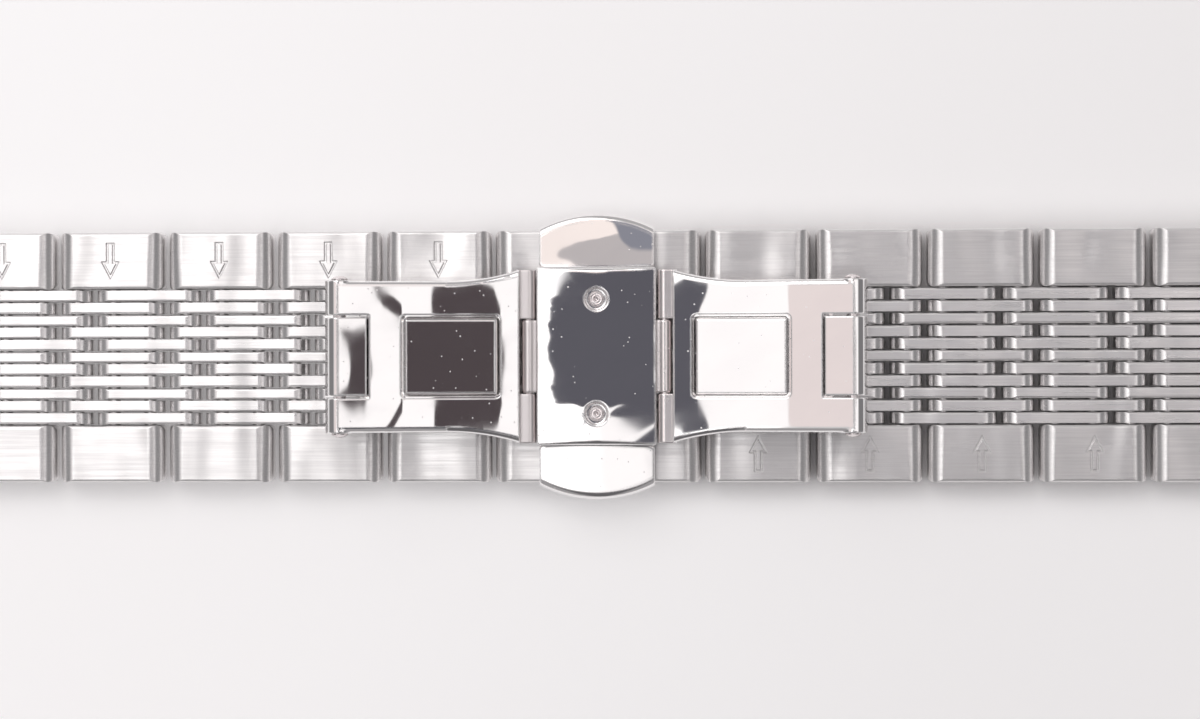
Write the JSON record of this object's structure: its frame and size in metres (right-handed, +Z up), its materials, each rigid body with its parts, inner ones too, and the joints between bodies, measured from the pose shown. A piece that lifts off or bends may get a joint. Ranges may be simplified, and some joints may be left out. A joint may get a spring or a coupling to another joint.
{
  "type": "watch bracelet",
  "caption": "Steel link bracelet for a wristwatch with a hidden push-button butterfly clasp, laid flat with its wrist side up.",
  "frame": {"origin": "under the middle of the closed clasp, on the surface that the bracelet lies on", "axes": "+X along the bracelet towards its right end, +Y across it, +Z up, out of the side that touches the wrist"},
  "size_m": [0.1546, 0.0226, 0.008],
  "materials": {
    "polished_steel": "stainless steel, mirror polished",
    "brushed_steel": "stainless steel, brushed along the bracelet",
    "slat_steel": "stainless steel, satin, slightly brighter than the edge links",
    "pin_steel": "stainless steel, turned",
    "spring_steel": "spring wire"
  },
  "bodies": {
    "clasp_block": {"base_plate": "polished_steel", "guide_plate": "brushed_steel", "rivets": "pin_steel", "block_hinge_pins": "pin_steel", "button_spring_front": "spring_steel", "button_spring_back": "spring_steel"},
    "button_front": {"push_button_front": "polished_steel"},
    "button_back": {"push_button_back": "polished_steel"},
    "arm_left": {"inner_arm_left": "polished_steel", "arm_pin_left": "pin_steel"},
    "blade_left": {"outer_blade_left": "polished_steel", "clasp_link_left_edges": "brushed_steel", "clasp_link_left_rows": "slat_steel", "clasp_link_left_pins": "pin_steel"},
    "link_left_1": {"link_left_1_edges": "brushed_steel", "link_left_1_rows_and_pins": "slat_steel"},
    "link_left_2": {"link_left_2_edges": "brushed_steel", "link_left_2_rows_and_pins": "slat_steel"},
    "link_left_3": {"link_left_3_edges": "brushed_steel", "link_left_3_rows_and_pins": "slat_steel"},
    "link_left_4": {"link_left_4_edges": "brushed_steel", "link_left_4_rows_and_pins": "slat_steel"},
    "link_left_5": {"link_left_5_edges": "brushed_steel", "link_left_5_rows_and_pins": "slat_steel"},
    "link_left_6": {"link_left_6_edges": "brushed_steel", "link_left_6_rows_and_pins": "slat_steel"},
    "link_left_7": {"link_left_7_edges": "brushed_steel", "link_left_7_rows_and_pins": "slat_steel"},
    "end_link_left": {"end_link_left_edges": "brushed_steel", "end_link_left_rows_and_pins": "slat_steel", "spring_bar_tube_left": "pin_steel", "spring_bar_spring_left": "spring_steel"},
    "tip_left_front": {"spring_bar_tip_left_front": "pin_steel"},
    "tip_left_back": {"spring_bar_tip_left_back": "pin_steel"},
    "arm_right": {"inner_arm_right": "polished_steel", "arm_pin_right": "pin_steel"},
    "blade_right": {"outer_blade_right": "polished_steel", "clasp_link_right_edges": "brushed_steel", "clasp_link_right_rows": "slat_steel", "clasp_link_right_pins": "pin_steel"},
    "link_right_1": {"link_right_1_edges": "brushed_steel", "link_right_1_rows_and_pins": "slat_steel"},
    "link_right_2": {"link_right_2_edges": "brushed_steel", "link_right_2_rows_and_pins": "slat_steel"},
    "link_right_3": {"link_right_3_edges": "brushed_steel", "link_right_3_rows_and_pins": "slat_steel"},
    "link_right_4": {"link_right_4_edges": "brushed_steel", "link_right_4_rows_and_pins": "slat_steel"},
    "link_right_5": {"link_right_5_edges": "brushed_steel", "link_right_5_rows_and_pins": "slat_steel"},
    "link_right_6": {"link_right_6_edges": "brushed_steel", "link_right_6_rows_and_pins": "slat_steel"},
    "link_right_7": {"link_right_7_edges": "brushed_steel", "link_right_7_rows_and_pins": "slat_steel"},
    "end_link_right": {"end_link_right_edges": "brushed_steel", "end_link_right_rows_and_pins": "slat_steel", "spring_bar_tube_right": "pin_steel", "spring_bar_spring_right": "spring_steel"},
    "tip_right_front": {"spring_bar_tip_right_front": "pin_steel"},
    "tip_right_back": {"spring_bar_tip_right_back": "pin_steel"}
  },
  "joints": [
    {"name": "button_front_press", "type": "slide", "parent": "clasp_block", "child": "button_front", "axis": [0, 1, 0], "range_m": [0, 0.0008], "stiffness_N_per_m": 800, "springref_m": -0.001, "deforming": ["button_spring_front"]},
    {"name": "button_back_press", "type": "slide", "parent": "clasp_block", "child": "button_back", "axis": [0, -1, 0], "range_m": [0, 0.0008], "stiffness_N_per_m": 800, "springref_m": -0.001, "deforming": ["button_spring_back"]},
    {"name": "arm_left_hinge", "type": "hinge", "parent": "clasp_block", "child": "arm_left", "pos_m": [-0.00535, 0, 0.0044], "axis": [0, 1, 0], "range_deg": [0, 35]},
    {"name": "blade_left_hinge", "type": "hinge", "parent": "arm_left", "child": "blade_left", "pos_m": [-0.02, 0, 0.00677], "axis": [0, 1, 0], "range_deg": [0, 175]},
    {"name": "link_left_1_hinge", "type": "hinge", "parent": "blade_left", "child": "link_left_1", "pos_m": [-0.00683, 0, 0.0014], "axis": [0, -1, 0], "range_deg": [-6, 90]},
    {"name": "link_left_2_hinge", "type": "hinge", "parent": "link_left_1", "child": "link_left_2", "pos_m": [-0.01563, 0, 0.0014], "axis": [0, -1, 0], "range_deg": [-14, 5]},
    {"name": "link_left_3_hinge", "type": "hinge", "parent": "link_left_2", "child": "link_left_3", "pos_m": [-0.02443, 0, 0.0014], "axis": [0, -1, 0], "range_deg": [-22, 5]},
    {"name": "link_left_4_hinge", "type": "hinge", "parent": "link_left_3", "child": "link_left_4", "pos_m": [-0.03323, 0, 0.0014], "axis": [0, -1, 0], "range_deg": [-22, 5]},
    {"name": "link_left_5_hinge", "type": "hinge", "parent": "link_left_4", "child": "link_left_5", "pos_m": [-0.04203, 0, 0.0014], "axis": [0, -1, 0], "range_deg": [-22, 5]},
    {"name": "link_left_6_hinge", "type": "hinge", "parent": "link_left_5", "child": "link_left_6", "pos_m": [-0.05083, 0, 0.0014], "axis": [0, -1, 0], "range_deg": [-22, 5]},
    {"name": "link_left_7_hinge", "type": "hinge", "parent": "link_left_6", "child": "link_left_7", "pos_m": [-0.05963, 0, 0.0014], "axis": [0, -1, 0], "range_deg": [-22, 5]},
    {"name": "end_link_left_hinge", "type": "hinge", "parent": "link_left_7", "child": "end_link_left", "pos_m": [-0.06843, 0, 0.0014], "axis": [0, -1, 0], "range_deg": [-22, 5]},
    {"name": "tip_left_front_slide", "type": "slide", "parent": "end_link_left", "child": "tip_left_front", "axis": [0, 1, 0], "range_m": [0, 0.0011], "stiffness_N_per_m": 300, "springref_m": -0.002, "deforming": ["spring_bar_spring_left"]},
    {"name": "tip_left_back_slide", "type": "slide", "parent": "end_link_left", "child": "tip_left_back", "axis": [0, -1, 0], "range_m": [0, 0.0011], "stiffness_N_per_m": 300, "springref_m": -0.002},
    {"name": "arm_right_hinge", "type": "hinge", "parent": "clasp_block", "child": "arm_right", "pos_m": [0.00535, 0, 0.0044], "axis": [0, -1, 0], "range_deg": [0, 35]},
    {"name": "blade_right_hinge", "type": "hinge", "parent": "arm_right", "child": "blade_right", "pos_m": [0.02, 0, 0.00677], "axis": [0, -1, 0], "range_deg": [0, 175]},
    {"name": "link_right_1_hinge", "type": "hinge", "parent": "blade_right", "child": "link_right_1", "pos_m": [0.00683, 0, 0.0014], "axis": [0, 1, 0], "range_deg": [-6, 90]},
    {"name": "link_right_2_hinge", "type": "hinge", "parent": "link_right_1", "child": "link_right_2", "pos_m": [0.01563, 0, 0.0014], "axis": [0, 1, 0], "range_deg": [-14, 5]},
    {"name": "link_right_3_hinge", "type": "hinge", "parent": "link_right_2", "child": "link_right_3", "pos_m": [0.02443, 0, 0.0014], "axis": [0, 1, 0], "range_deg": [-22, 5]},
    {"name": "link_right_4_hinge", "type": "hinge", "parent": "link_right_3", "child": "link_right_4", "pos_m": [0.03323, 0, 0.0014], "axis": [0, 1, 0], "range_deg": [-22, 5]},
    {"name": "link_right_5_hinge", "type": "hinge", "parent": "link_right_4", "child": "link_right_5", "pos_m": [0.04203, 0, 0.0014], "axis": [0, 1, 0], "range_deg": [-22, 5]},
    {"name": "link_right_6_hinge", "type": "hinge", "parent": "link_right_5", "child": "link_right_6", "pos_m": [0.05083, 0, 0.0014], "axis": [0, 1, 0], "range_deg": [-22, 5]},
    {"name": "link_right_7_hinge", "type": "hinge", "parent": "link_right_6", "child": "link_right_7", "pos_m": [0.05963, 0, 0.0014], "axis": [0, 1, 0], "range_deg": [-22, 5]},
    {"name": "end_link_right_hinge", "type": "hinge", "parent": "link_right_7", "child": "end_link_right", "pos_m": [0.06843, 0, 0.0014], "axis": [0, 1, 0], "range_deg": [-22, 5]},
    {"name": "tip_right_front_slide", "type": "slide", "parent": "end_link_right", "child": "tip_right_front", "axis": [0, 1, 0], "range_m": [0, 0.0011], "stiffness_N_per_m": 300, "springref_m": -0.002, "deforming": ["spring_bar_spring_right"]},
    {"name": "tip_right_back_slide", "type": "slide", "parent": "end_link_right", "child": "tip_right_back", "axis": [0, -1, 0], "range_m": [0, 0.0011], "stiffness_N_per_m": 300, "springref_m": -0.002}
  ]
}
